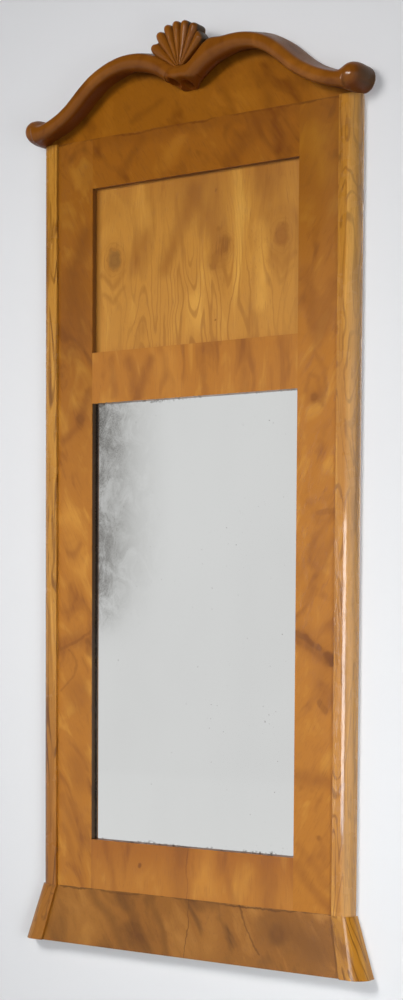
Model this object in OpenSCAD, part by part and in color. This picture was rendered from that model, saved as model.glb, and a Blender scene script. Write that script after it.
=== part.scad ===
// Tall wall mirror with a veneered frame, corner pilasters, flared plinth and shell crest.
// The wall plane is Y = 0, the front faces -Y, X = 0 is the middle and Z = 0 the underside.

/* [Frame] */
// Width over the two pilasters
frame_w = 610; // [600:1:622]
// Thickness of the frame boards
board_t = 17; // [16.5:0.5:20]
// Visible width of each stile, from the opening to the pilaster
stile_w = 72.5; // [66:0.5:78]
// Height of the bottom rail
bottom_rail_h = 83.5; // [76:0.5:92]
// Height of the rail between mirror and panel
mid_rail_h = 84; // [76:0.5:92]
// Height of the top rail
top_rail_h = 81; // [78:0.5:90]
// Height of the mirror opening
mirror_h = 730; // [680:1:780]
// Height of the panel opening
panel_h = 269.5; // [240:0.5:300]

/* [Pilasters] */
// Width of a pilaster
pilaster_w = 32; // [29:0.5:35]
// How far the pilasters stand in front of the frame boards
pilaster_proud = 5; // [4:0.5:7]
// Radius of the rounded outer corner
pilaster_round = 17; // [14:0.5:19]

/* [Plinth] */
// Height of the plinth
plinth_h = 95.5; // [86:0.5:105]
// How far the plinth leans forward at its underside
flare_front = 13; // [9:0.5:16]
// How far the feet lean out sideways at their underside
flare_side = 33; // [29:0.5:37]
// How far the inner edge of a foot leans out at its underside
flare_inner = 22; // [19:0.5:25]
// Step by which a foot stands out under its pilaster
foot_ledge = 2.5; // [1:0.5:4]
// Radius of a foot's rounded corner at its underside
foot_round = 26; // [23:0.5:28]
// Thickness of the facing board of the plinth
facing_t = 4; // [3:0.5:5]

/* [Rebates and filling] */
// Width of the rebates that hold glass, panel and backboards
rebate_w = 8; // [6:0.5:10]
// Thickness of the mirror glass
glass_t = 2.8; // [2.5:0.1:3.2]
// Thickness of the backboards behind the glass
backboard_t = 3; // [2.5:0.1:3.4]
// Thickness of the upper panel
panel_t = 5.8; // [5:0.1:6.4]
// Free depth behind the backboards and the panel
back_space = 1.7; // [1.7:0.1:2]
// Play of glass, panel and backboards at each edge
edge_play = 1; // [0.5:0.1:2]
// Gap between two backboards
board_gap = 0.5; // [0.2:0.1:0.9]

/* [Joints of the frame] */
// Thickness of the tenons
tenon_t = 6; // [5:0.5:6.5]
// Length of the tenons
tenon_l = 28; // [22:1:29]
// Shoulder above and below each tenon
tenon_shoulder = 12; // [9:0.5:16]
// Wood between the rebates and the tenons
tenon_margin = 1; // [0.5:0.1:1.4]
// Play of tenons and dowels in their holes
joint_play = 0.1; // [0.05:0.05:0.2]
// Radius of the dowels
dowel_r = 4; // [3:0.25:4.2]
// Length of the dowels
dowel_l = 40; // [30:1:50]
// Distance from the middle to the dowels in the rails
dowel_x = 100; // [80:1:115]

/* [Crest] */
// Height of the humps' front edge over the crest joint
crest_rise = 111.5; // [106:0.5:117]
// Distance from the middle to the top of a hump
hump_x = 101; // [97:0.5:105]
// Radius of a hump along its front edge
hump_r = 130; // [125:0.5:135]
// Steepest slope of the crest in degrees
slope_a = 40; // [38:0.5:42]
// Length of the straight run between hump and hollow
slope_l = 25; // [20:0.5:29]
// Radius of the hollow in front of each knob
valley_r = 195; // [190:1:200]
// How far the moulding stands in front of the boards
moulding_d = 38; // [34:0.5:42]
// Height of the moulding's front face
moulding_h = 21; // [18:0.5:23]
// Rise of the moulding's top edge from front to back
moulding_splay = 9; // [6:0.5:11]
// Drop from the front edge to the undercut at the boards
moulding_undercut = 11; // [9:0.5:13]
// Bulge of the moulding's front face
moulding_bulge = 3.5; // [2.5:0.5:5]

/* [Knobs] */
// Radius of a knob at the wall
knob_r = 20.3; // [18:0.1:21]
// How far a knob stands out over its pilaster
knob_over = 19.5; // [16:0.5:21]
// Length of a knob's straight part, from the wall
knob_shank = 22; // [18:0.5:28]
// Radius of a knob's nose
knob_nose_r = 9; // [8:0.25:10]
// Height of a knob's rounded nose
knob_nose_h = 3; // [2:0.25:4]

/* [Shell] */
// Angle between two neighbouring lobes in degrees
lobe_step = 14.2; // [13.9:0.1:14.8]
// Angle from the inner lobes to the two outermost lobes in degrees
outer_step = 19; // [18:0.5:20]
// Angle by which the fan of lobes leans to the left in degrees
fan_lean = 3.4; // [0:0.2:4]
// Radius of a lobe's tip
lobe_r = 8; // [7.5:0.1:8.4]
// Height of the hinge over the crest joint
hinge_up = 72.5; // [71:0.5:74]
// Radius of the circle on which the tips stand
tip_circle_r = 49.8; // [48:0.1:51]
// Height of that circle's middle over the hinge
tip_circle_up = 18; // [17:0.1:19]
// Distance from the wall to the back of the shell
shell_back = 31; // [28:0.5:34]
// Distance from the wall to the middle of the ribs
rib_d = 55; // [53:0.5:57]
// Step between the outline of the shell and its ribs
rib_step = 0.9; // [0.7:0.1:1.2]
// Distance from the hinge to where the ribs rise out of the boss
rib_start = 7; // [6:0.25:8]
// Radius of the boss at the hinge
hinge_r = 11; // [10:0.5:12]
// How far the middle of the boss lies behind the ribs
boss_set = 3; // [2:0.5:5]
// Half the width of the drop under the shell
drop_w = 14; // [13:0.5:16]
// Half the width of the foot of the drop
drop_foot_w = 5; // [4:0.5:6]
// Distance from the hinge down to where the sides of the drop turn in
drop_side_h = 15.5; // [14:0.5:17]
// Distance from the hinge down to the foot of the drop
drop_h = 27; // [25:0.5:29]
// Radius of the rounded front of the drop
drop_r = 43; // [42:0.5:44]
// Distance from the hinge down to the middle of the rounded front
drop_middle = 2; // [1:0.5:4]
// Radius of the two hollows in the drop
hollow_r = 7; // [6:0.25:8]
// Distance from the middle to each hollow
hollow_x = 9; // [8.75:0.25:10]
// Distance from the hinge down to the hollows
hollow_down = 25; // [24:0.5:27]
// Distance from the wall to the hollows
hollow_d = 47; // [45:0.5:49]
// Gap between carved pieces and their seats
seat_gap = 0.2; // [0.1:0.05:0.4]

/* [Hanging plates] */
// Distance between the two hanging holes
hanger_spacing = 300; // [270:1:340]
// Width of a plate
plate_w = 24; // [20:0.5:30]
// Height of a plate
plate_h = 56; // [50:1:58]
// Thickness of a plate
plate_t = 2; // [1.5:0.1:2.5]
// Distance from the crest joint down to the plates
plate_drop = 8; // [6:0.5:10]
// Radius of a hanging hole
hanger_hole_r = 4.5; // [3.5:0.25:5]
// Distance from a plate's top to its hanging hole
hanger_hole_drop = 13; // [11:0.5:16]
// Radius of the pocket behind a hanging hole
pocket_r = 7; // [6:0.25:8]
// Depth of the pocket behind a hanging hole
pocket_d = 11; // [8:0.5:13]
// Straight rim of a screw hole in front of its countersink
screw_land = 0.2; // [0.1:0.05:0.4]
// Radius of a screw's shank
screw_r = 1.75; // [1.5:0.05:2]
// Radius of a screw's head
screw_head_r = 3.5; // [3:0.1:4]
// Length of a screw
screw_l = 12; // [10:0.5:14]
// Distance between the two screws of a plate
screw_step = 14; // [12:0.5:15]
// Distance from a plate's foot to its lower screw
screw_up = 8; // [7:0.5:9]

/* [Brads] */
// Radius of the brads that hold panel and backboards
brad_r = 0.7; // [0.5:0.05:0.75]
// Length of a brad
brad_l = 16; // [14:0.5:18]
// How far a brad is driven into the stile
brad_in = 10; // [8:0.5:11]
// Distance from the ends of an opening to the first brads
brad_end = 60; // [40:1:80]
// Number of brads along each side of the mirror
mirror_brads = 4; // [2:1:5]
// Number of brads along each side of the panel
panel_brads = 2; // [2:1:3]

/* [Hidden] */
$fn = 96;
// Small lead by which cutting bodies pass the faces that they cut
lead = 1;
half_w = frame_w / 2;
pilaster_x = half_w - pilaster_w;
open_x = pilaster_x - stile_w;
rebate_x = open_x + rebate_w;
mirror_z0 = plinth_h + bottom_rail_h;
mirror_z1 = mirror_z0 + mirror_h;
panel_z0 = mirror_z1 + mid_rail_h;
panel_z1 = panel_z0 + panel_h;
crest_z = panel_z1 + top_rail_h;
front_d = board_t + pilaster_proud;
// Depths of the two rebates, measured from the wall
mirror_rebate = glass_t + backboard_t + back_space;
panel_rebate = panel_t + back_space;
tenon_d = max(mirror_rebate, panel_rebate) + tenon_margin;
// Crest curves: hump circle, straight run and hollow circle, all along the front edge
hump_z = crest_z + crest_rise - hump_r;
slope_t = [cos(slope_a), -sin(slope_a)];
slope_n = [sin(slope_a), cos(slope_a)];
slope_start = [hump_x, hump_z] + hump_r * slope_n;
slope_end = slope_start + slope_l * slope_t;
knob_x = half_w + knob_over - knob_r;
knob_z = crest_z + knob_r + seat_gap;
// The hollow ends this far in front of the knob, and the moulding and board run on behind it
valley_lead = 2;
// How far board and moulding reach behind the middle of a knob before the knob's seat cuts them
board_under_knob = 12;
moulding_under_knob = 10;
// Angle by which the curves of the moulding run on past their straight cut ends
sweep_lead = 8;
// Share by which the slanting sides of the moulding run on past the edges of its front
edge_run = 0.2;
valley_x = knob_x - knob_r - valley_lead;
valley_a = asin(sin(slope_a) - (valley_x - slope_end[0]) / valley_r);
valley_c = slope_end + valley_r * slope_n;
arris_d = board_t + moulding_d;
hinge_z = crest_z + hinge_up;
// Directions of the seven lobes, turned from upright to the left, and their lengths from the hinge
lobe_side = [0, lobe_step, 2 * lobe_step, 2 * lobe_step + outer_step];
lobe_as = [for (i = [-3 : 3]) fan_lean + sign(i) * lobe_side[abs(i)]];
lobe_ls = [
    for (a = lobe_as)
        tip_circle_up * cos(a) + sqrt(pow(tip_circle_r, 2) - pow(tip_circle_up * sin(a), 2))
];
// Knob profile: side arc from the shank to the nose
knob_len = arris_d;
knob_side_l = knob_len - knob_nose_h - knob_shank;
knob_side_x = knob_r - knob_nose_r;
knob_side_r = (knob_side_x * knob_side_x + knob_side_l * knob_side_l) / (2 * knob_side_x);
knob_cap_r = (knob_nose_r * knob_nose_r + knob_nose_h * knob_nose_h) / (2 * knob_nose_h);
// Dowels stand in the middle of the boards: two in the stiles and two in the rails
dowel_xs = [-(open_x + stile_w / 2), -dowel_x, dowel_x, open_x + stile_w / 2];
dowel_d = board_t / 2;
plate_z1 = crest_z - plate_drop;
plate_z0 = plate_z1 - plate_h;
hanger_z = plate_z1 - hanger_hole_drop;
screw_zs = [plate_z0 + screw_up, plate_z0 + screw_up + screw_step];
// Heights of the brads along the two openings
mirror_brad_zs = [
    for (i = [0 : mirror_brads - 1])
        mirror_z0 + brad_end + i * (mirror_h - 2 * brad_end) / (mirror_brads - 1)
];
panel_brad_zs = [
    for (i = [0 : panel_brads - 1])
        panel_z0 + brad_end + i * (panel_h - 2 * brad_end) / (panel_brads - 1)
];
brad_play = 0.05;
brad_d = back_space - brad_r - brad_play;

// Box between two values of X, of distance from the wall and of Z
module block(x0, x1, d0, d1, z0, z1) {
    translate([x0, -d1, z0])
        cube([x1 - x0, d1 - d0, z1 - z0]);
}

// Turns a front view, drawn in X and Z, into a solid between two distances from the wall
module front_view(d0, d1) {
    translate([0, -d0, 0])
        rotate([90, 0, 0])
            linear_extrude(d1 - d0)
                children();
}

// Turns a side view, drawn in distance from the wall and Z, into a solid between two values of X
module side_view(x0, x1) {
    translate([x1, 0, 0])
        rotate([0, 0, 180])
            rotate([90, 0, 90])
                linear_extrude(x1 - x0)
                    children();
}

// Round hole or pin that runs away from the wall
module round_y(x, z, d0, d1, r1, r2) {
    translate([x, -d0, z])
        rotate([90, 0, 0])
            cylinder(h = d1 - d0, r1 = r1, r2 = r2);
}

module mirrored(side) {
    if (side < 0) {
        mirror([1, 0, 0]) children();
    } else {
        children();
    }
}

// Frame boards

module dowel_set(z, play, extra) {
    for (x = dowel_xs)
        translate([x, -dowel_d, z - dowel_l / 2 - extra])
            cylinder(h = dowel_l + 2 * extra, r = dowel_r + play);
}

module dowel_holes() {
    dowel_set(plinth_h, joint_play, lead);
    dowel_set(crest_z, joint_play, lead);
}

module brad(x0, x1, d, z, play) {
    translate([x0, -d, z])
        rotate([0, 90, 0])
            cylinder(h = x1 - x0, r = brad_r + play, $fn = 24);
}

module brads(play, extra) {
    x1 = rebate_x + brad_in + extra;
    x0 = rebate_x + brad_in - brad_l;
    for (z = mirror_brad_zs)
        brad(x0, x1, brad_d, z, play);
    for (z = panel_brad_zs)
        brad(x0, x1, brad_d, z, play);
}

module tenon(z0, z1, play, extra) {
    block(open_x - lead * (play > 0 ? 1 : 0), open_x + tenon_l + extra, tenon_d - play,
        tenon_d + tenon_t + play, z0 + tenon_shoulder - play, z1 - tenon_shoulder + play);
}

module stile(side) {
    mirrored(side)
        difference() {
            block(open_x, pilaster_x, 0, board_t, plinth_h, crest_z);
            block(open_x - lead, rebate_x, -lead, mirror_rebate,
                mirror_z0 - rebate_w, mirror_z1 + rebate_w);
            block(open_x - lead, rebate_x, -lead, panel_rebate,
                panel_z0 - rebate_w, panel_z1 + rebate_w);
            tenon(plinth_h, mirror_z0, joint_play, lead);
            tenon(mirror_z1, panel_z0, joint_play, lead);
            tenon(panel_z1, crest_z, joint_play, lead);
            dowel_holes();
            brads(brad_play, brad_play);
        }
}

module rail_blank(z0, z1) {
    block(-open_x, open_x, 0, board_t, z0, z1);
    for (side = [-1, 1])
        mirrored(side)
            tenon(z0, z1, 0, 0);
}

module rail_rebate(z0, z1, d) {
    block(-open_x - lead, open_x + lead, -lead, d, z0, z1);
}

module stile_left() {
    color("#a8692c") stile(-1);
}

module stile_right() {
    color("#a8692c") stile(1);
}

module bottom_rail() {
    color("#a8692c")
        difference() {
            rail_blank(plinth_h, mirror_z0);
            rail_rebate(mirror_z0 - rebate_w, mirror_z0 + lead, mirror_rebate);
            dowel_holes();
        }
}

module mid_rail() {
    color("#a8692c")
        difference() {
            rail_blank(mirror_z1, panel_z0);
            rail_rebate(mirror_z1 - lead, mirror_z1 + rebate_w, mirror_rebate);
            rail_rebate(panel_z0 - rebate_w, panel_z0 + lead, panel_rebate);
        }
}

module top_rail() {
    color("#a8692c")
        difference() {
            rail_blank(panel_z1, crest_z);
            rail_rebate(panel_z1 - lead, panel_z1 + rebate_w, panel_rebate);
            dowel_holes();
            for (x = [-1, 1] * hanger_spacing / 2) {
                block(x - plate_w / 2 - joint_play, x + plate_w / 2 + joint_play, -lead, plate_t,
                    plate_z0 - joint_play, plate_z1 + joint_play);
                round_y(x, hanger_z, 0, pocket_d, pocket_r, pocket_r);
                for (z = screw_zs)
                    round_y(x, z, 0, screw_l + lead, screw_r + joint_play, screw_r + joint_play);
            }
        }
}

// Pilasters and plinth

module pilaster_profile() {
    mirror([0, 1])
        intersection() {
            square([pilaster_w, front_d]);
            union() {
                square([pilaster_w - pilaster_round, front_d]);
                square([pilaster_w, front_d - pilaster_round]);
                translate([pilaster_w - pilaster_round, front_d - pilaster_round])
                    circle(pilaster_round);
            }
        }
}

module pilaster(side) {
    mirrored(side)
        translate([pilaster_x, 0, plinth_h])
            linear_extrude(crest_z - plinth_h)
                pilaster_profile();
}

module pilaster_left() {
    color("#c08a45") pilaster(-1);
}

module pilaster_right() {
    color("#c08a45") pilaster(1);
}

// Side view that leans forward: two distances from the wall at the top and two at the bottom
module leaning(d0_top, d1_top, d0_bottom, d1_bottom) {
    polygon([[d0_bottom, 0], [d1_bottom, 0], [d1_top, plinth_h], [d0_top, plinth_h]]);
}

module foot(side) {
    x_out_top = half_w + foot_ledge;
    x_out = half_w + flare_side;
    x_in = pilaster_x + flare_inner;
    // Axis of the rounded corner, from the underside to the top
    ax = [x_out - foot_round, foot_round - front_d - flare_front, 0];
    bx = [x_out_top - pilaster_round, pilaster_round - front_d, plinth_h];
    dir = bx - ax;
    len = norm(dir);
    grow = (foot_round - pilaster_round) / len;
    over = pilaster_round / 2;
    mirrored(side)
        intersection() {
            front_view(0, front_d + flare_front)
                polygon([[x_in, 0], [x_out, 0], [x_out_top, plinth_h], [pilaster_x, plinth_h]]);
            side_view(pilaster_x, x_out)
                leaning(0, front_d, 0, front_d + flare_front);
            union() {
                front_view(0, front_d + flare_front)
                    polygon([
                        [pilaster_x - lead, 0], [ax[0], 0], [bx[0], plinth_h],
                        [pilaster_x - lead, plinth_h],
                    ]);
                side_view(pilaster_x, x_out)
                    leaning(0, -bx[1], 0, -ax[1]);
                translate(ax)
                    rotate([0, acos(dir[2] / len), atan2(dir[1], dir[0])])
                        translate([0, 0, -over])
                            cylinder(h = len + 2 * over, r1 = foot_round + grow * over,
                                r2 = pilaster_round - grow * over);
            }
        }
}

module foot_left() {
    color("#b98243") foot(-1);
}

module foot_right() {
    color("#b98243") foot(1);
}

module plinth_front_view() {
    polygon([
        [-pilaster_x - flare_inner, 0], [pilaster_x + flare_inner, 0],
        [pilaster_x, plinth_h], [-pilaster_x, plinth_h],
    ]);
}

module plinth_core() {
    color("#c9a877")
        difference() {
            intersection() {
                front_view(0, board_t + flare_front)
                    plinth_front_view();
                side_view(-half_w, half_w)
                    leaning(0, board_t - facing_t, 0, board_t + flare_front - facing_t);
            }
            dowel_holes();
        }
}

module plinth_facing() {
    color("#7c4a22")
        intersection() {
            front_view(0, board_t + flare_front)
                plinth_front_view();
            side_view(-half_w, half_w)
                leaning(board_t - facing_t, board_t,
                    board_t + flare_front - facing_t, board_t + flare_front);
        }
}

// Filling of the openings

module filling(d0, d1, z0, z1) {
    x = rebate_x - edge_play;
    block(-x, x, d0, d1, z0, z1);
}

module upper_panel() {
    color("#b9822f")
        filling(back_space, panel_rebate, panel_z0 - rebate_w + edge_play,
            panel_z1 + rebate_w - edge_play);
}

module mirror_glass() {
    color("#c4c6c4")
        filling(mirror_rebate - glass_t, mirror_rebate, mirror_z0 - rebate_w + edge_play,
            mirror_z1 + rebate_w - edge_play);
}

// One of the three boards behind the glass, counted from the bottom
module backboard(i) {
    z0 = mirror_z0 - rebate_w + edge_play;
    z1 = mirror_z1 + rebate_w - edge_play;
    h = (z1 - z0 - 2 * board_gap) / 3;
    filling(back_space, back_space + backboard_t, z0 + i * (h + board_gap),
        z0 + i * (h + board_gap) + h);
}

module backboard_lower() {
    color("#b99a6b") backboard(0);
}

module backboard_middle() {
    color("#b99a6b") backboard(1);
}

module backboard_upper() {
    color("#b99a6b") backboard(2);
}

module backboard_brads() {
    color("#4a4744")
        for (side = [-1, 1])
            mirrored(side)
                brads(0, 0);
}

// Crest

// Right half of the crest below a curve that runs m above the moulding's front edge
module crest_half(m) {
    p1 = [hump_x, hump_z] + (hump_r + m) * slope_n;
    p2 = p1 + slope_l * slope_t;
    x_end = knob_x - board_under_knob;
    intersection() {
        translate([hump_x, hump_z])
            circle(hump_r + m, $fn = 240);
        translate([0, crest_z])
            square([p1[0], crest_rise + m + lead]);
    }
    polygon([[p1[0], crest_z], p1, p2, [p2[0], crest_z]]);
    difference() {
        polygon([[p2[0], crest_z], p2, [x_end, p2[1]], [x_end, crest_z]]);
        translate(valley_c)
            circle(valley_r - m, $fn = 240);
    }
}

// Outline of the shell, grown by g for its seat
module shell_view(g) {
    translate([0, hinge_z]) {
        circle(hinge_r + g);
        for (i = [0 : len(lobe_as) - 1])
            rotate(lobe_as[i]) {
                polygon([
                    [-g, 0], [g, 0], [lobe_r + g, lobe_ls[i]], [-lobe_r - g, lobe_ls[i]],
                ]);
                translate([0, lobe_ls[i]])
                    circle(lobe_r + g);
            }
    }
}

module knob_solid(g) {
    r = knob_r + g;
    translate([knob_x, lead * (g > 0 ? 1 : 0), knob_z])
        rotate([90, 0, 0])
            cylinder(h = knob_shank + lead * (g > 0 ? 1 : 0), r = r);
    translate([knob_x, 0, knob_z])
        rotate([90, 0, 0])
            rotate_extrude() {
                intersection() {
                    translate([knob_r - knob_side_r, knob_shank])
                        circle(knob_side_r + g);
                    translate([0, knob_shank])
                        square([r, knob_side_l]);
                }
                intersection() {
                    translate([0, knob_len - knob_cap_r])
                        circle(knob_cap_r + g);
                    translate([0, knob_len - knob_nose_h])
                        square([r, knob_nose_h + g]);
                }
            }
}

module crest_board() {
    color("#8f561f")
        difference() {
            union()
                for (side = [-1, 1])
                    mirrored(side)
                        front_view(0, board_t)
                            crest_half(moulding_splay);
            for (side = [-1, 1])
                mirrored(side)
                    knob_solid(seat_gap);
            dowel_holes();
        }
}

// Cross-section of the moulding at radius r of its front edge: s is 1 on a hump, -1 in a hollow
module moulding_section(r, s) {
    top = [r + s * moulding_splay, board_t];
    arris = [r, arris_d];
    low = [r - s * moulding_h, arris_d];
    under = [r - s * moulding_undercut, board_t];
    bulge_r = (moulding_h * moulding_h / 4 + moulding_bulge * moulding_bulge)
        / (2 * moulding_bulge);
    // The slanting sides run on in front of the edges, so that the bulge stays between them
    intersection() {
        polygon([top, arris + edge_run * (arris - top), low + edge_run * (low - under), under]);
        union() {
            polygon([top, arris, low, under]);
            translate([r - s * moulding_h / 2, arris_d + moulding_bulge - bulge_r])
                circle(bulge_r);
        }
    }
}

// Right moulding before the seat of the shell is cut
module moulding_blank(depth) {
    hump_sweep = slope_a + asin((hump_x - drop_w) / (hump_r - moulding_h)) + sweep_lead;
    hollow_sweep = slope_a - valley_a + sweep_lead;
    difference() {
        // Drawn along the slope: hump behind its start, straight run, hollow beyond its end
        translate([slope_start[0], 0, slope_start[1]])
            rotate([0, slope_a, 0]) {
                translate([0, 0, -hump_r])
                    rotate([90, 0, 0])
                        rotate([0, 0, 90])
                            rotate_extrude(angle = hump_sweep, $fn = 240)
                                moulding_section(hump_r, 1);
                rotate([180, 0, 0])
                    rotate([0, 90, 0])
                        linear_extrude(slope_l)
                            moulding_section(0, 1);
                translate([slope_l, 0, valley_r])
                    rotate([90, 0, 0])
                        rotate([0, 0, 270])
                            rotate_extrude(angle = hollow_sweep, $fn = 240)
                                moulding_section(valley_r, -1);
            }
        // Straight end at the drop and at the knob
        block(-hump_r, drop_w, 0, depth, crest_z - hump_r, crest_z + crest_rise + hump_r);
        block(knob_x - moulding_under_knob, knob_x + hump_r, 0, depth,
            crest_z - hump_r, crest_z + crest_rise);
        knob_solid(seat_gap);
    }
}

module crest_moulding(side) {
    depth = arris_d + moulding_bulge + lead;
    difference() {
        mirrored(side)
            moulding_blank(depth);
        front_view(shell_back - seat_gap, depth)
            shell_view(seat_gap);
    }
}

module crest_moulding_left() {
    color("#7a4519") crest_moulding(-1);
}

module crest_moulding_right() {
    color("#7a4519") crest_moulding(1);
}

module crest_knob_left() {
    color("#74431d") mirrored(-1) knob_solid(0);
}

module crest_knob_right() {
    color("#74431d") knob_solid(0);
}

module shell() {
    end_r = lobe_r - rib_step;
    color("#8a5423") {
        front_view(shell_back, rib_d)
            shell_view(0);
        // Each rib is a cone that starts inside the boss and stays clear of its neighbours
        for (i = [0 : len(lobe_as) - 1])
            translate([0, -rib_d, hinge_z])
                rotate([0, -lobe_as[i], 0]) {
                    translate([0, 0, rib_start])
                        cylinder(h = lobe_ls[i] - rib_start,
                            r1 = end_r * rib_start / lobe_ls[i], r2 = end_r);
                    translate([0, 0, lobe_ls[i]])
                        sphere(end_r);
                }
        translate([0, boss_set - rib_d, hinge_z])
            sphere(hinge_r - rib_step);
    }
}

module shell_drop() {
    depth = board_t + drop_r;
    color("#7a4519")
        difference() {
            intersection() {
                front_view(board_t, depth)
                    polygon([
                        [-drop_w, hinge_z], [-drop_w, hinge_z - drop_side_h],
                        [-drop_foot_w, hinge_z - drop_h], [drop_foot_w, hinge_z - drop_h],
                        [drop_w, hinge_z - drop_side_h], [drop_w, hinge_z],
                    ]);
                translate([0, -board_t, hinge_z - drop_middle])
                    sphere(drop_r);
            }
            front_view(shell_back - seat_gap, depth + lead)
                shell_view(seat_gap);
            for (x = [-hollow_x, hollow_x])
                translate([x, -hollow_d, hinge_z - hollow_down])
                    sphere(hollow_r);
        }
}

// Fixings

module frame_dowels() {
    color("#c9a877") {
        dowel_set(plinth_h, 0, 0);
        dowel_set(crest_z, 0, 0);
    }
}

module hanging_plates() {
    color("#4a4744")
        for (x = [-1, 1] * hanger_spacing / 2)
            difference() {
                block(x - plate_w / 2, x + plate_w / 2, 0, plate_t, plate_z0, plate_z1);
                round_y(x, hanger_z, -lead, plate_t + lead, hanger_hole_r, hanger_hole_r);
                for (z = screw_zs) {
                    round_y(x, z, -lead, plate_t + lead, screw_r + joint_play,
                        screw_r + joint_play);
                    round_y(x, z, 0, plate_t - screw_land, screw_head_r + joint_play,
                        screw_r + joint_play);
                }
            }
}

module hanging_screws() {
    color("#6c6862")
        for (x = [-1, 1] * hanger_spacing / 2, z = screw_zs) {
            round_y(x, z, 0, plate_t - screw_land, screw_head_r, screw_r);
            round_y(x, z, 0, screw_l, screw_r, screw_r);
        }
}

stile_left();
stile_right();
bottom_rail();
mid_rail();
top_rail();
pilaster_left();
pilaster_right();
foot_left();
foot_right();
plinth_core();
plinth_facing();
upper_panel();
mirror_glass();
backboard_lower();
backboard_middle();
backboard_upper();
backboard_brads();
crest_board();
crest_moulding_left();
crest_moulding_right();
crest_knob_left();
crest_knob_right();
shell();
shell_drop();
frame_dowels();
hanging_plates();
hanging_screws();
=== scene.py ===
"""Old wall mirror with a veneered frame and a shell crest, dressed around its solid parts."""

import math

import bmesh
import bpy
import numpy as np
from mathutils import Matrix, Vector


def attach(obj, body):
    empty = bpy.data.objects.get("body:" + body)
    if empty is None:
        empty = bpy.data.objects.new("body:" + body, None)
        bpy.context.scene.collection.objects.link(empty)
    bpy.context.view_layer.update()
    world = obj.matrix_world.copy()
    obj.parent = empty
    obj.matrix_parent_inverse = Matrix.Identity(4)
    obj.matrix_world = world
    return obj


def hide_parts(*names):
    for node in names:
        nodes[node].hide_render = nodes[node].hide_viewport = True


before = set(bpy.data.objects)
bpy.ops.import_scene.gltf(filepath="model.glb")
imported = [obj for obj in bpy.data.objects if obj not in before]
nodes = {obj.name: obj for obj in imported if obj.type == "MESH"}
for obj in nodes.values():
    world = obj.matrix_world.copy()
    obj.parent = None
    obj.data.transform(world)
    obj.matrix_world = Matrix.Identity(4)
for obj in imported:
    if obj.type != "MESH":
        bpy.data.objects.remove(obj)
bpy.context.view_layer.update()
scene = bpy.context.scene
MM = 0.001


def link(obj):
    scene.collection.objects.link(obj)
    return obj


# Camera at the photograph's viewing angle

CAM_PLACE = (1.7137, -2.4763, 0.5589)
CAM_YAW, CAM_PITCH, CAM_ROLL = math.radians(34.486), math.radians(-3.286), math.radians(0.324)
CAM_SENSOR, CAM_LENS, CAM_SHIFT_Y = 36, 66.6, 0.2209
CAM_CLIP = (0.05, 60)
cam = link(bpy.data.objects.new("camera", bpy.data.cameras.new("camera")))
cam.data.sensor_width = CAM_SENSOR
cam.data.lens = CAM_LENS
cam.data.shift_y = CAM_SHIFT_Y
cam.data.clip_start, cam.data.clip_end = CAM_CLIP
cam.matrix_world = (
    Matrix.Translation(CAM_PLACE)
    @ Matrix.Rotation(CAM_YAW, 4, "Z")
    @ Matrix.Rotation(math.pi / 2 + CAM_PITCH, 4, "X")
    @ Matrix.Rotation(CAM_ROLL, 4, "Z")
)
scene.camera = cam
scene.view_settings.view_transform = "Standard"


# Lamps, room and stage


def lamp(name, place, target, size, power, colour=(1, 1, 1), spread=180, diffuse=True, glossy=True):
    """Rectangular lamp that points from place to target, with its power in watts."""
    data = bpy.data.lights.new(name, "AREA")
    data.shape, data.size, data.size_y = "RECTANGLE", size[0], size[1]
    data.energy, data.color = power, colour
    data.spread = math.radians(spread)
    obj = link(bpy.data.objects.new(name, data))
    obj.location = place
    obj.rotation_euler = (Vector(target) - Vector(place)).to_track_quat("-Z", "Y").to_euler()
    obj.visible_camera = False
    obj.visible_diffuse, obj.visible_glossy = diffuse, glossy
    return obj


lamp("key", (-0.6, -2.6, 1.85), (0.2, 0, 0.2), (0.9, 0.9), 17.8, (1, 0.99, 0.97), 82, glossy=False)
lamp("side", (2.3, -1.6, 0.1), (0.3, 0, -0.1), (0.9, 1.0), 9.5, (0.91, 0.97, 1), 76, glossy=False)
window = lamp("window", (-0.125, -2.6, 0.39), (-0.125, 0, 0.39), (1.25, 0.92), 29, (1, 0.99, 0.98),
              diffuse=False)
glint = lamp("glint", (0.2, -2.4, 1.58), (0, 0, 1.45), (0.45, 0.5), 26, (1, 0.97, 0.92), diffuse=False)
lamp("rear", (0.8, 3.0, 1.6), (0, 0, 0.7), (2.0, 2.0), 45)


def shine_on(source, objects, state):
    """Limits a lamp to some objects, or keeps it off them when state is EXCLUDE."""
    group = bpy.data.collections.new(source.name + "_objects")
    for obj in objects:
        group.objects.link(obj)
    for entry in group.collection_objects:
        entry.light_linking.link_state = state
    source.light_linking.receiver_collection = group


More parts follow.
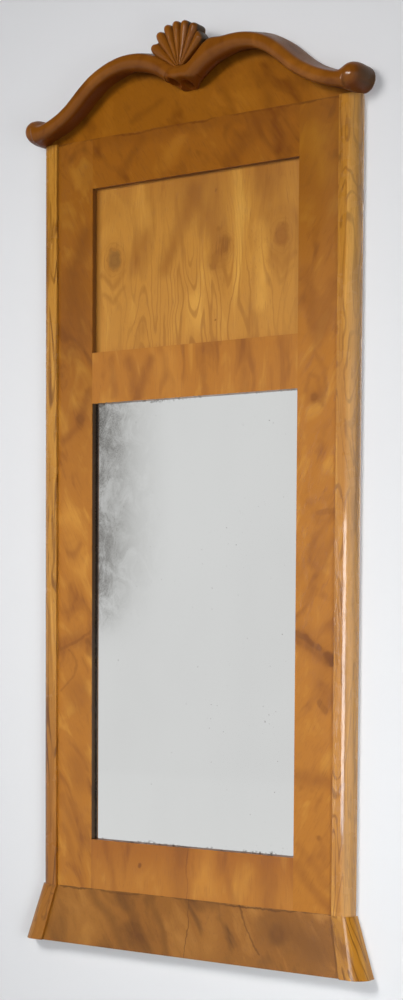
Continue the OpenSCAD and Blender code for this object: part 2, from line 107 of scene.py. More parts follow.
class Graph:
    """Short names for the shader nodes of one material or world."""

    def __init__(self, owner):
        owner.use_nodes = True
        self.owner = owner
        self.tree = owner.node_tree
        self.coords = None

    def node(self, kind, **values):
        made = self.tree.nodes.new("ShaderNode" + kind)
        for key, value in values.items():
            setattr(made, key, value)
        return made

    def plug(self, socket, value):
        if isinstance(value, bpy.types.NodeSocket):
            self.tree.links.new(value, socket)
        elif value is not None:
            socket.default_value = value

    def math(self, operation, a, b=None, c=None, clamp=False):
        made = self.node("Math", operation=operation, use_clamp=clamp)
        for socket, value in zip(made.inputs, (a, b, c)):
            self.plug(socket, value)
        return made.outputs[0]

    def vector(self, operation, a, b=None, scale=None):
        made = self.node("VectorMath", operation=operation)
        self.plug(made.inputs[0], a)
        self.plug(made.inputs[1], b)
        self.plug(made.inputs[3], scale)
        return made.outputs[1 if operation in ("DOT_PRODUCT", "LENGTH", "DISTANCE") else 0]

    def place(self):
        """The object's own coordinates, which are metres in the row frame."""
        if self.coords is None:
            self.coords = self.node("TexCoord").outputs["Object"]
        return self.coords

    def split(self, vector):
        made = self.node("SeparateXYZ")
        self.plug(made.inputs[0], vector)
        return made.outputs[0], made.outputs[1], made.outputs[2]

    def join(self, x, y, z):
        made = self.node("CombineXYZ")
        for socket, value in zip(made.inputs, (x, y, z)):
            self.plug(socket, value)
        return made.outputs[0]

    def stretch(self, vector, scale, offset=(0, 0, 0)):
        return self.vector("ADD", self.vector("MULTIPLY", vector, scale), offset)

    def noise(self, vector, detail=2.0, rough=0.5, distortion=0.0, colour=False):
        made = self.node("TexNoise")
        self.plug(made.inputs["Vector"], vector)
        made.inputs["Scale"].default_value = 1.0
        made.inputs["Detail"].default_value = detail
        made.inputs["Roughness"].default_value = rough
        made.inputs["Distortion"].default_value = distortion
        return made.outputs["Color" if colour else "Fac"]

    def smooth(self, value, low, high, start=0.0, end=1.0):
        """Smooth step of value from low to high, with results from start to end."""
        made = self.node("MapRange", interpolation_type="SMOOTHSTEP")
        for name, given in (("From Min", low), ("From Max", high), ("To Min", start), ("To Max", end)):
            self.plug(made.inputs[name], given)
        self.plug(made.inputs["Value"], value)
        return made.outputs["Result"]

    def ramp(self, value, stops):
        made = self.node("ValToRGB")
        self.plug(made.inputs[0], value)
        points = made.color_ramp.elements
        while len(points) < len(stops):
            points.new(0.5)
        for point, (place, colour) in zip(points, stops):
            point.position = place
            point.color = (*colour, 1)
        return made.outputs[0]

    def mix(self, factor, a, b, blend="MIX"):
        made = self.node("Mix", data_type="RGBA", blend_type=blend)
        self.plug(made.inputs[0], factor)
        self.plug(made.inputs[6], (*a, 1) if isinstance(a, tuple) else a)
        self.plug(made.inputs[7], (*b, 1) if isinstance(b, tuple) else b)
        return made.outputs[2]

    def stroke(self, point, ends, width, soft=None, squash=(1, 1, 1)):
        """Mask that is 1 on the line between two points of the front view and 0 beyond its width."""
        a, b = (Vector((end[0], 0, end[1])) for end in ends)
        shape = Vector(squash)
        a, b = a * shape, b * shape
        if squash != (1, 1, 1):
            point = self.vector("MULTIPLY", point, squash)
        if (b - a).length < 1e-5:
            apart = self.vector("DISTANCE", point, tuple(a))
        else:
            run = b - a
            away = self.vector("SUBTRACT", point, tuple(a))
            share = self.math("MULTIPLY", self.vector("DOT_PRODUCT", away, tuple(run)),
                              1 / run.length_squared, clamp=True)
            apart = self.vector("DISTANCE", away, self.vector("SCALE", tuple(run), scale=share))
        return self.smooth(apart, 0.0 if soft is None else width - soft, width, 1.0, 0.0)

    def bump(self, height, strength, distance, normal=None):
        made = self.node("Bump")
        made.inputs["Strength"].default_value = strength
        made.inputs["Distance"].default_value = distance
        self.plug(made.inputs["Height"], height)
        self.plug(made.inputs["Normal"], normal)
        return made.outputs[0]

    def glow(self, colour, strength=1.0):
        made = self.node("Emission")
        made.inputs["Color"].default_value = (*colour, 1)
        made.inputs["Strength"].default_value = strength
        return made.outputs[0]

    def add(self, a, b):
        made = self.node("AddShader")
        self.plug(made.inputs[0], a)
        self.plug(made.inputs[1], b)
        return made.outputs[0]

    def choose(self, factor, a, b):
        """Shader a where factor is 0 and b where it is 1. Without a, nothing is there."""
        made = self.node("MixShader")
        for socket, value in zip(made.inputs, (factor, a, b)):
            self.plug(socket, value)
        return made.outputs[0]

    def output(self, shader):
        self.plug(self.tree.nodes["Material Output"].inputs["Surface"], shader)
        return self.owner


def surface(name):
    material = bpy.data.materials.new(name)
    graph = Graph(material)
    return graph, graph.tree.nodes["Principled BSDF"]


# Room: pale at eye height and darker overhead; a camera that looks past the wall sees a pale studio

world = bpy.data.worlds.new("studio")
scene.world = world
room = Graph(world)
background = room.tree.nodes["Background"]
look = room.node("TexCoord").outputs["Generated"]
across, _, height = room.split(look)
cloud = room.noise(room.stretch(look, (2.2, 2.2, 3.0)), 1.0)
ROOM_FRONT, ROOM_RIGHT = (0.72, 0.725, 0.73), (1.11, 1.16, 1.26)
ROOM_CLOUD, ROOM_ABOVE, STUDIO = (0.6, 0.6, 0.6), (0.02, 0.019, 0.018), (0.86, 0.87, 0.88)
lit = room.mix(room.smooth(across, 0.1, 0.95), ROOM_FRONT, ROOM_RIGHT)
lit = room.mix(room.math("MULTIPLY", cloud, 0.2), lit, ROOM_CLOUD)
lit = room.mix(room.smooth(height, 0.12, 0.2), lit, ROOM_ABOVE)
seen = room.mix(room.node("LightPath").outputs["Is Camera Ray"], lit, STUDIO)
room.plug(background.inputs["Color"], seen)
background.inputs["Strength"].default_value = 1.0


def plane(name, corners, material):
    mesh = bpy.data.meshes.new(name)
    mesh.from_pydata(corners, [], [(0, 1, 2, 3)])
    mesh.materials.append(material)
    obj = link(bpy.data.objects.new(name, mesh))
    return obj


# Rays shorter than this go through the plaster, so that light gets behind the mirror
PLASTER_CLEAR = 0.006


def plaster():
    """Pale plaster that lets light reach the back of the mirror and is clear from behind."""
    g, shader = surface("plaster")
    tone = g.noise(g.stretch(g.place(), (1.6, 1.6, 1.6)), 3.0)
    shader.inputs["Roughness"].default_value = 0.9
    shader.inputs["Specular IOR Level"].default_value = 0.2
    g.plug(shader.inputs["Base Color"],
           g.mix(g.smooth(tone, 0.3, 0.7, 0.0, 0.35), (0.55, 0.55, 0.562), (0.52, 0.52, 0.532)))
    path = g.node("LightPath")
    lift = g.choose(path.outputs["Is Camera Ray"], None, g.glow((0.5, 0.505, 0.52), 0.36))
    near = g.math("MULTIPLY", g.math("LESS_THAN", path.outputs["Ray Length"], PLASTER_CLEAR),
                  g.math("SUBTRACT", 1.0, path.outputs["Is Camera Ray"]))
    clear = g.math("MAXIMUM", near, g.node("NewGeometry").outputs["Backfacing"])
    return g.output(g.choose(clear, g.add(shader.outputs[0], lift),
                             g.node("BsdfTransparent").outputs[0]))


def floor_paint():
    """Pale floor that sends little light up and is as pale as the room in the mirror."""
    g, shader = surface("floor_paint")
    tone = g.noise(g.stretch(g.place(), (2.0, 2.0, 2.0)), 3.0)
    path = g.node("LightPath")
    pale = g.mix(g.smooth(tone, 0.3, 0.7), (0.72, 0.72, 0.73), (0.69, 0.69, 0.7))
    shader.inputs["Roughness"].default_value = 0.7
    g.plug(shader.inputs["Base Color"], g.mix(path.outputs["Is Camera Ray"], (0.22, 0.22, 0.23), pale))
    lift = g.choose(path.outputs["Is Camera Ray"], None, g.glow((0.36, 0.362, 0.366)))
    return g.output(g.choose(path.outputs["Is Glossy Ray"], g.add(shader.outputs[0], lift),
                             g.glow((0.72, 0.725, 0.73))))


FLOOR_Z, WALL_TOP, ROOM = -0.35, 5, 6
WALL_Y = 0.0015
plane("wall", [(-ROOM, WALL_Y, FLOOR_Z), (ROOM, WALL_Y, FLOOR_Z), (ROOM, WALL_Y, WALL_TOP),
               (-ROOM, WALL_Y, WALL_TOP)], plaster())
plane("floor", [(-ROOM, ROOM, FLOOR_Z), (-ROOM, -ROOM, FLOOR_Z), (ROOM, -ROOM, FLOOR_Z),
                (ROOM, ROOM, FLOOR_Z)], floor_paint())


# Wood; the frame opens between -OPEN_X and OPEN_X

OPEN_X, MIRROR_LOW, MIRROR_HIGH, PANEL_HIGH = 0.2005, 0.179, 0.909, 1.2715
# Colour of deep and light marks, as shares of the wood's dark and light tones
DEEP_SHARES, LIGHT_SHARE = (0.5, 0.4, 0.34), 1.12


def grain_flow(g, p, seed, knots, across, turn):
    """Coordinates along the grain (Z), which flows round the knots and drifts."""
    q = p
    for x, z, reach in knots:
        away = g.vector("MULTIPLY", g.vector("SUBTRACT", p, (x, 0, z)), (1, 0, 0.4))
        near = g.smooth(g.vector("LENGTH", away), 0.0, reach, -0.85, 0.0)
        q = g.vector("ADD", q, g.vector("SCALE", away, scale=near))
    q = g.vector("ADD", q, (seed * 1.7, seed * 0.9, seed * 2.3))
    if across:
        x, y, z = g.split(q)
        q = g.join(z, y, x)
    if turn:
        spin = g.node("VectorRotate", rotation_type="Y_AXIS")
        g.plug(spin.inputs["Vector"], q)
        spin.inputs["Angle"].default_value = math.radians(turn)
        q = spin.outputs[0]
    drift = g.noise(g.stretch(q, (7.0, 7.0, 2.4)), 2.0, colour=True)
    drift = g.vector("SUBTRACT", drift, (0.5, 0.5, 0.5))
    return g.vector("ADD", q, g.vector("SCALE", drift, scale=0.035))


def growth_lines(g, q, streak, rings):
    """Mask of thin lines: (how fine across, how fine along the grain, lines, strength)."""
    across, along, lines, strength = rings
    field = g.noise(g.stretch(q, (across, across, along)), 2.0, 0.45, 0.5)
    line = g.math("SINE", g.math("MULTIPLY", field, 2 * math.pi * lines))
    line = g.math("MULTIPLY", g.smooth(line, 0.45, 1.0), g.smooth(streak, 0.35, 0.62, 0.25, 1.0))
    return g.math("MULTIPLY", line, strength)


def draw_strokes(g, p, broad, colour, marks, strokes):
    """Figure marks, drawn in order as wobbling lines that the figure breaks up a little."""
    slow = g.noise(g.stretch(p, (24.0, 24.0, 24.0)), 4.0, 0.6, colour=True)
    wobble = g.vector("SCALE", g.vector("SUBTRACT", slow, (0.5, 0.5, 0.5)), scale=0.02)
    point = g.vector("MULTIPLY", g.vector("ADD", p, wobble), (1, 0, 1))
    breaks = g.smooth(broad, 0.35, 0.6, 0.5, 1.0)
    for tone, strength, width, points in strokes:
        mask = None
        for a, b in zip(points, points[1:] or points):
            one = g.stroke(point, (a, b), width, 0.65 * width if tone == "deep" else None)
            mask = one if mask is None else g.math("MAXIMUM", mask, one)
        mask = g.math("MULTIPLY", g.math("MULTIPLY", mask, strength), breaks)
        colour = g.mix(mask, colour, marks[tone])
    return colour


def polish(g, shader, p, seed, rough, coat, gloss, relief):
    """Worn polish over the relief of the grain and slow waves in the surface."""
    wear = g.noise(g.stretch(p, (24.0, 24.0, 24.0), (seed, 0, 0)), 4.0, 0.6)
    g.plug(shader.inputs["Roughness"], g.smooth(wear, 0.3, 0.7, rough[0], rough[1]))
    shader.inputs["Specular IOR Level"].default_value = gloss
    for name, value in zip(("Coat Weight", "Coat Roughness", "Coat IOR"), coat):
        shader.inputs[name].default_value = value
    waves = g.noise(g.stretch(p, (9.0, 9.0, 5.0), (seed, 0, 0)), 1.0)
    normal = g.bump(waves, 0.5, 0.004, g.bump(relief, 0.25, 0.0004))
    g.plug(shader.inputs["Normal"], normal)
    g.plug(shader.inputs["Coat Normal"], normal)


def wood(name, tones, seed, grain=(260.0, 5.0), figure=(24.0, 13.0), turn=0.0, across=False,
         rough=(0.3, 0.42), contrast=1.5, shares=(0.78, 0.12, 0.1), pores=0.3, strokes=(), knots=(),
         rings=None, fade=None, extra=None, coat=(0.5, 0.16, 1.5), gloss=0.17):
    """Polished wood in three tones, dark to light. Grain and figure give how fine the pattern is
    across and along the grain, shares how much the figure, the streaks and the grain count, and
    turn leans them in the front view. Strokes are soft figure marks: (tone, strength, width,
    points), each drawn as a line through points of X and Z. The grain flows round the knots,
    (X, Z, reach), rings are growth lines, fade is the darker end of a piece: (Z where it starts,
    Z where it is full, colour to multiply by), and coat is (weight, roughness, IOR)."""
    g, shader = surface(name)
    p = g.place()
    q = grain_flow(g, p, seed, knots, across, turn)
    broad = g.noise(g.stretch(q, (figure[0], figure[0], figure[1])), 2.5, 0.5, 0.8)
    streak = g.noise(g.stretch(q, (figure[0] * 4, figure[0] * 4, figure[1] * 1.4)), 3.0, 0.6)
    fine = g.noise(g.stretch(q, (grain[0], grain[0], grain[1])), 3.0, 0.6)
    mixed = g.math("ADD", g.math("MULTIPLY", broad, shares[0]),
                   g.math("ADD", g.math("MULTIPLY", streak, shares[1]),
                          g.math("MULTIPLY", fine, shares[2])))
    mixed = g.math("ADD", g.math("MULTIPLY", g.math("SUBTRACT", mixed, 0.5), contrast), 0.5)
    dark, mid, light = tones
    colour = g.ramp(mixed, [(0.3, dark), (0.47, mid), (0.55, mid), (0.74, light)])
    deep = tuple(share * c for share, c in zip(DEEP_SHARES, dark))
    marks = {"dark": dark, "deep": deep, "light": tuple(LIGHT_SHARE * c for c in light)}
    if rings:
        colour = g.mix(growth_lines(g, q, streak, rings), colour, deep)
    if strokes:
        colour = draw_strokes(g, p, broad, colour, marks, strokes)
    if fade:
        end = g.smooth(g.split(p)[2], fade[0], fade[1])
        colour = g.mix(end, colour, fade[2], "MULTIPLY")
    if extra:
        colour = extra(g, p, q, colour, marks)
    pit = g.smooth(g.noise(g.stretch(q, (1500.0, 1500.0, 42.0)), 1.0), 0.6, 0.72)
    colour = g.mix(g.math("MULTIPLY", pit, pores), colour, deep)
    g.plug(shader.inputs["Base Color"], colour)
    polish(g, shader, p, seed, rough, coat, gloss, g.math("SUBTRACT", g.math("MULTIPLY", fine, 0.6), pit))
    return g.owner


FRAME = ((0.245, 0.08, 0.009), (0.385, 0.142, 0.015), (0.51, 0.226, 0.032))
PANEL = ((0.3, 0.115, 0.016), (0.45, 0.198, 0.029), (0.58, 0.292, 0.05))
CREST = ((0.17, 0.05, 0.003), (0.26, 0.088, 0.005), (0.33, 0.12, 0.009))
CREST_RAIL = ((0.16, 0.045, 0.003), (0.27, 0.09, 0.006), (0.38, 0.15, 0.015))
PLINTH = ((0.13, 0.045, 0.006), (0.24, 0.09, 0.012), (0.36, 0.15, 0.026))
ELM = ((0.245, 0.088, 0.007), (0.44, 0.184, 0.017), (0.61, 0.298, 0.045))
TAN = ((0.24, 0.088, 0.008), (0.46, 0.205, 0.026), (0.64, 0.32, 0.06))
CARVED = ((0.13, 0.035, 0.003), (0.21, 0.066, 0.006), (0.28, 0.094, 0.01))
PINE = ((0.33, 0.2, 0.095), (0.45, 0.3, 0.15), (0.53, 0.38, 0.21))

LEFT_MARKS = (
    ("deep", 0.6, 0.0026, ((-0.273, 1.3425), (-0.2, 1.3425))),
    ("light", 0.54, 0.0114, ((-0.2484, 1.3076), (-0.2314, 1.2725))),
    ("light", 0.45, 0.0095, ((-0.238, 1.297), (-0.218, 1.258))),
    ("dark", 0.72, 0.057, ((-0.245, 1.10), (-0.236, 1.02))),
    ("dark", 0.63, 0.0266, ((-0.215, 1.19), (-0.24, 1.13))),
    ("deep", 0.77, 0.0114, ((-0.2251, 0.8861),)),
    ("dark", 0.63, 0.0304, ((-0.2251, 0.8861),)),
    ("dark", 0.63, 0.0133, ((-0.265, 0.85), (-0.228, 0.876), (-0.21, 0.93))),
    ("deep", 0.6, 0.0042, ((-0.2677, 0.4998), (-0.23, 0.513), (-0.2049, 0.529))),
    ("dark", 0.75, 0.024, ((-0.262, 0.505), (-0.23, 0.518), (-0.205, 0.515))),
    ("deep", 0.4, 0.012, ((-0.203, 0.515), (-0.2035, 0.494))),
    ("deep", 0.35, 0.003, ((-0.264, 0.43), (-0.237, 0.455), (-0.231, 0.478), (-0.246, 0.497))),
    ("dark", 0.54, 0.038, ((-0.2294, 0.4306), (-0.225, 0.415))),
    ("dark", 0.54, 0.0342, ((-0.2291, 0.3119), (-0.226, 0.2778))),
    ("dark", 0.54, 0.0114, ((-0.262, 0.25), (-0.2201, 0.1591))),
    ("dark", 0.54, 0.0095, ((-0.242, 0.243), (-0.205, 0.165))),
    ("dark", 0.45, 0.0114, ((-0.26, 0.2), (-0.235, 0.13))),
    ("light", 0.36, 0.038, ((-0.25, 0.72), (-0.225, 0.64))),
)
RIGHT_MARKS = (
    ("deep", 0.6, 0.0026, ((0.2, 1.3425), (0.273, 1.3425))),
    ("light", 0.5, 0.038, ((0.222, 1.29), (0.25, 1.235))),
    ("dark", 0.68, 0.0209, ((0.2127, 1.085), (0.2368, 1.0), (0.2626, 1.061))),
    ("dark", 0.54, 0.0152, ((0.215, 1.045), (0.237, 0.972), (0.262, 1.02))),
    ("dark", 0.54, 0.0076, ((0.216, 0.94), (0.2316, 0.962), (0.252, 0.935), (0.2475, 0.88))),
    ("dark", 0.54, 0.0076, ((0.214, 0.905), (0.222, 0.928), (0.24, 0.925), (0.2425, 0.885))),
    ("deep", 0.72, 0.0114, ((0.2316, 0.8931),)),
    ("dark", 0.63, 0.0266, ((0.2316, 0.8931),)),
    ("deep", 0.5, 0.0057, ((0.2398, 0.7178), (0.27, 0.717))),
    ("dark", 0.54, 0.0171, ((0.2178, 0.5826), (0.267, 0.6744))),
    ("dark", 0.41, 0.0133, ((0.21, 0.62), (0.25, 0.70))),
    ("dark", 0.68, 0.0342, ((0.2093, 0.5283), (0.2637, 0.4905))),
    ("deep", 0.42, 0.015, ((0.207, 0.526), (0.228, 0.512), (0.262, 0.491))),
    ("deep", 0.5, 0.006, ((0.205, 0.531), (0.228, 0.518), (0.245, 0.509))),
    ("deep", 0.8, 0.0095, ((0.2592, 0.4973), (0.268, 0.488))),
    ("deep", 0.63, 0.007, ((0.2455, 0.424), (0.257, 0.412))),
    ("dark", 0.5, 0.03, ((0.245, 0.46), (0.262, 0.43))),
    ("deep", 0.63, 0.0066, ((0.2461, 0.213),)),
    ("dark", 0.75, 0.021, ((0.205, 0.306), (0.27, 0.30))),
    ("dark", 0.68, 0.0171, ((0.2056, 0.1683), (0.268, 0.1032))),
    ("dark", 0.45, 0.0133, ((0.21, 0.2), (0.27, 0.135))),
)
BOTTOM_MARKS = (
    ("deep", 0.6, 0.0014, ((-0.0027, 0.094), (-0.0027, 0.182))),
    ("dark", 0.72, 0.0304, ((-0.0169, 0.182), (-0.0163, 0.094))),
    ("dark", 0.68, 0.0266, ((0.154, 0.185), (0.153, 0.09))),
    ("deep", 0.72, 0.0066, ((-0.0989, 0.1426),)),
    ("dark", 0.54, 0.0114, ((-0.17, 0.18), (-0.15, 0.1))),
    ("dark", 0.45, 0.0114, ((0.06, 0.17), (0.09, 0.1))),
    ("light", 0.45, 0.038, ((0.03, 0.175), (0.035, 0.11))),
)
MID_MARKS = (
    ("dark", 0.77, 0.0171, ((-0.1259, 0.975), (-0.108, 0.915))),
    ("dark", 0.77, 0.0171, ((-0.082, 0.9728), (-0.108, 0.915))),
    ("dark", 0.54, 0.0114, ((-0.16, 0.98), (-0.155, 0.92))),
    ("dark", 0.5, 0.0114, ((0.02, 0.98), (0.028, 0.91))),
    ("dark", 0.45, 0.0152, ((0.1, 0.975), (0.105, 0.91))),
    ("light", 0.45, 0.038, ((-0.05, 0.97), (-0.04, 0.92))),
)
TOP_MARKS = (
    ("deep", 0.6, 0.0026, ((-0.2, 1.3425), (0.2, 1.3425))),
    ("dark", 0.45, 0.0228, ((-0.2, 1.337), (0.2, 1.337))),
    ("dark", 0.54, 0.0228, ((0.14, 1.33), (0.075, 1.272))),
    ("dark", 0.5, 0.0171, ((-0.1, 1.33), (-0.14, 1.28))),
    ("light", 0.45, 0.0228, ((-0.02, 1.32), (-0.06, 1.28))),
)
CREST_MARKS = (
    ("dark", 0.5, 0.0152, ((0.10, 1.43), (0.145, 1.35))),
    ("dark", 0.45, 0.0152, ((0.05, 1.40), (0.08, 1.35))),
    ("dark", 0.54, 0.0095, ((-0.12, 1.36), (-0.06, 1.385))),
    ("light", 0.36, 0.038, ((0.09, 1.42), (0.11, 1.37))),
)
PLINTH_MARKS = (
    ("light", 0.5, 0.1, ((-0.24, 0.05), (-0.2, 0.05))),
    ("deep", 0.7, 0.0022, ((-0.27, 0.0945), (0.27, 0.0945))),
    ("deep", 0.6, 0.0015, ((0.0015, 0.0), (0.0015, 0.0955))),
    ("deep", 0.55, 0.002, ((0.0969, 0.0991), (0.118, 0.055), (0.145, 0.02))),
    ("dark", 0.63, 0.0152, ((-0.2, 0.09), (-0.155, 0.05), (-0.12, 0.0))),
    ("dark", 0.63, 0.0133, ((-0.14, 0.092), (-0.1, 0.055), (-0.075, 0.0))),
    ("dark", 0.54, 0.0114, ((-0.08, 0.09), (-0.05, 0.05), (-0.035, 0.0))),
    ("deep", 0.54, 0.0247, ((0.1728, 0.0554),)),
    ("dark", 0.63, 0.057, ((0.17, 0.07), (0.25, 0.04))),
    ("light", 0.36, 0.038, ((0.04, 0.08), (0.05, 0.02))),
)
PANEL_MARKS = (
    ("dark", 1.0, 0.024, ((-0.002, 1.235), (-0.03, 1.18), (-0.06, 1.12))),
    ("dark", 1.0, 0.022, ((-0.002, 1.235), (0.026, 1.185), (0.05, 1.15))),
    ("dark", 0.6, 0.07, ((0.0, 1.27), (0.0, 1.22))),
    ("dark", 0.6, 0.03, ((-0.1618, 1.152), (-0.1622, 1.134))),
    ("dark", 0.6, 0.009, ((-0.186, 1.12), (-0.163, 1.098), (-0.142, 1.122))),
    ("dark", 0.5, 0.008, ((-0.187, 1.09), (-0.163, 1.075), (-0.142, 1.095))),
    ("deep", 0.8, 0.0125, ((0.0571, 1.151), (0.053, 1.139))),
    ("deep", 0.65, 0.0085, ((0.053, 1.139), (0.042, 1.132), (0.036, 1.114))),
    ("dark", 0.9, 0.026, ((0.0531, 1.143), (0.0399, 1.1221))),
    ("deep", 0.5, 0.006, ((0.0453, 1.1702),)),
    ("deep", 0.55, 0.003, ((0.1655, 1.165),)),
    ("dark", 0.75, 0.032, ((0.1635, 1.149), (0.1633, 1.12))),
    ("dark", 0.6, 0.009, ((0.142, 1.13), (0.1631, 1.095), (0.184, 1.12))),
    ("dark", 0.5, 0.008, ((0.142, 1.11), (0.1631, 1.075), (0.184, 1.10))),
    ("light", 0.8, 0.024, ((0.1238, 1.16), (0.1227, 1.05))),
    ("light", 0.6, 0.026, ((-0.11, 1.25), (-0.1, 1.2))),
    ("light", 0.5, 0.03, ((0.0, 1.06), (0.005, 1.03))),
    ("deep", 0.7, 0.003, ((0.0372, 1.2307),)),
    ("deep", 0.7, 0.003, ((0.0406, 1.0275),)),
)
# Knots of the panel: X, Z, reach, how strong their core is and its colour. The middle one's core
# is drawn by strokes
PANEL_KNOTS = ((-0.1618, 1.144, 0.05, 0.6, (0.17, 0.08, 0.02)), (0.0531, 1.139, 0.05, 0.0, (0, 0, 0)),
               (0.1635, 1.149, 0.05, 0.62, (0.25, 0.088, 0.014)))
KNOT_RING, KNOT_BLUR = 0.0065, 0.014
PANEL_LINES, PANEL_SHADE_RIM = 15, 0.016


def low_lines(g, p, q, colour, marks):
    """Growth lines of the panel, plain in its lower half and faint above."""
    x, _, z = g.split(p)
    qx, _, qz = g.split(q)
    wave = g.noise(g.join(g.math("MULTIPLY", qx, 9.0), 0.0, g.math("MULTIPLY", qz, 14.0)), 2.0, 0.5)
    bend = g.math("ADD", qx, g.math("MULTIPLY", wave, 0.022))
    field = g.noise(g.join(g.math("MULTIPLY", bend, 21.0), 7.0, g.math("MULTIPLY", qz, 2.2)), 1.0, 0.4)
    line = g.smooth(g.math("SINE", g.math("MULTIPLY", field, 2 * math.pi * PANEL_LINES)), 0.5, 1.0)
    centre = g.smooth(g.math("ABSOLUTE", g.math("SUBTRACT", x, 0.01)), 0.2, 0.07, 0.25, 1.0)
    low = g.smooth(z, 1.17, 1.1, 0.22, 0.6)
    colour = g.mix(g.math("MULTIPLY", line, g.math("MULTIPLY", low, centre)), colour, marks["dark"])
    blur = g.noise(g.stretch(p, (90.0, 90.0, 90.0)), 2.0, 0.5)
    for kx, kz, reach, strength, tone in PANEL_KNOTS:
        away = g.vector("MULTIPLY", g.vector("SUBTRACT", p, (kx, 0, kz)), (1, 0, 0.78))
        far = g.math("ADD", g.vector("LENGTH", away), g.math("MULTIPLY", blur, KNOT_BLUR))
        core = g.smooth(far, 0.0225, 0.0165, 0.0, strength)
        ring = g.smooth(g.math("SINE", g.math("MULTIPLY", far, 2 * math.pi / KNOT_RING)), 0.3, 1.0)
        ring = g.math("MULTIPLY", ring, g.smooth(far, reach * 0.85, 0.018, 0.0, 0.45))
        colour = g.mix(ring, colour, marks["dark"])
        colour = g.mix(core, colour, tone)
    # Painted shade along the panel's top edge under the rail and its left edge beside the stile
    rim = g.math("MAXIMUM", g.smooth(z, PANEL_HIGH - PANEL_SHADE_RIM, PANEL_HIGH, 0.0, 0.7),
                 g.smooth(x, PANEL_SHADE_RIM - OPEN_X, 0.001 - OPEN_X, 0.0, 0.75))
    return g.mix(rim, colour, marks["deep"])


# Two hollows of the drop as X and Z, and the tones of painted shade on the carving
HOLLOWS, HOLLOW_REACH = ((-0.018, 1.400), (0.004, 1.396)), 0.013
CARVED_COAT = 0.32
UNDER_SHADE, KNOB_SHADE, SHELL_SIDE_SHADE = (0.16, 0.034, 0.0015), (0.06, 0.042, 0.024), (0.05, 0.042, 0.026)


def painted_carving_shade(g, p, q, colour, marks):
    """Painted shade darkens what faces down, the two hollows, the outer side of the right
    knob and the rim of the shell. The hollows have no shine."""
    down = g.smooth(g.split(g.node("NewGeometry").outputs["Normal"])[2], -0.1, -0.6)
    x, y, z = g.split(p)
    # Painted shade under what faces down, close to the board
    under = g.math("MULTIPLY", down, g.smooth(y, -0.0555, -0.043))
    flat = g.vector("MULTIPLY", p, (1, 0, 1))
    hollow = g.math("MAXIMUM", *[g.stroke(flat, (spot, spot), HOLLOW_REACH) for spot in HOLLOWS])
    shine = g.smooth(hollow, 0.0, 0.4, CARVED_COAT, 0.0)
    g.plug(g.tree.nodes["Principled BSDF"].inputs["Coat Weight"], shine)
    # Painted shade on the outer side of the right knob, and in the two hollows
    knob = g.smooth(x, 0.309, 0.326)
    under = g.math("MAXIMUM", g.math("MULTIPLY", under, 0.8), g.math("MULTIPLY", hollow, 0.85))
    under = g.math("MAXIMUM", under, g.math("MULTIPLY", knob, 0.75))
    colour = g.mix(under, colour, g.mix(knob, UNDER_SHADE, KNOB_SHADE))
    # Painted shade on the shell's sides, between its front and its back
    rim = g.math("MULTIPLY", g.smooth(y, -0.0565, -0.052), g.smooth(y, -0.0325, -0.0345))
    rim = g.math("MULTIPLY", rim, g.smooth(z, 1.447, 1.453))
    return g.mix(g.math("MULTIPLY", rim, 0.85), colour, SHELL_SIDE_SHADE)


def painted_corner_sheen(g, p, q, colour, marks):
    """The rounded corner of the pilaster is painted paler, a painted sheen."""
    # Painted sheen on the outer part of the rounded corner
    sheen = g.smooth(g.split(p)[0], 0.287, 0.297, 0.0, 0.24)
    return g.mix(sheen, colour, (0.72, 0.46, 0.19))


def painted_rebate_shade(g, p, q, colour, marks):
    """The edge towards the mirror is darkened below the veneer with painted shade."""
    x, y, z = g.split(p)
    face = g.math("MULTIPLY", g.smooth(x, -OPEN_X - 0.0008, -OPEN_X - 0.0003),
                  g.smooth(y, -0.0165, -0.0145))
    # Painted shade colour, greyer beside the mirror and browner beside the panel
    stain_and_shade = g.mix(g.smooth(z, 0.9, 1.0), (0.05, 0.042, 0.032), (0.2, 0.08, 0.018))
    return g.mix(g.math("MULTIPLY", face, 0.85), colour, stain_and_shade)


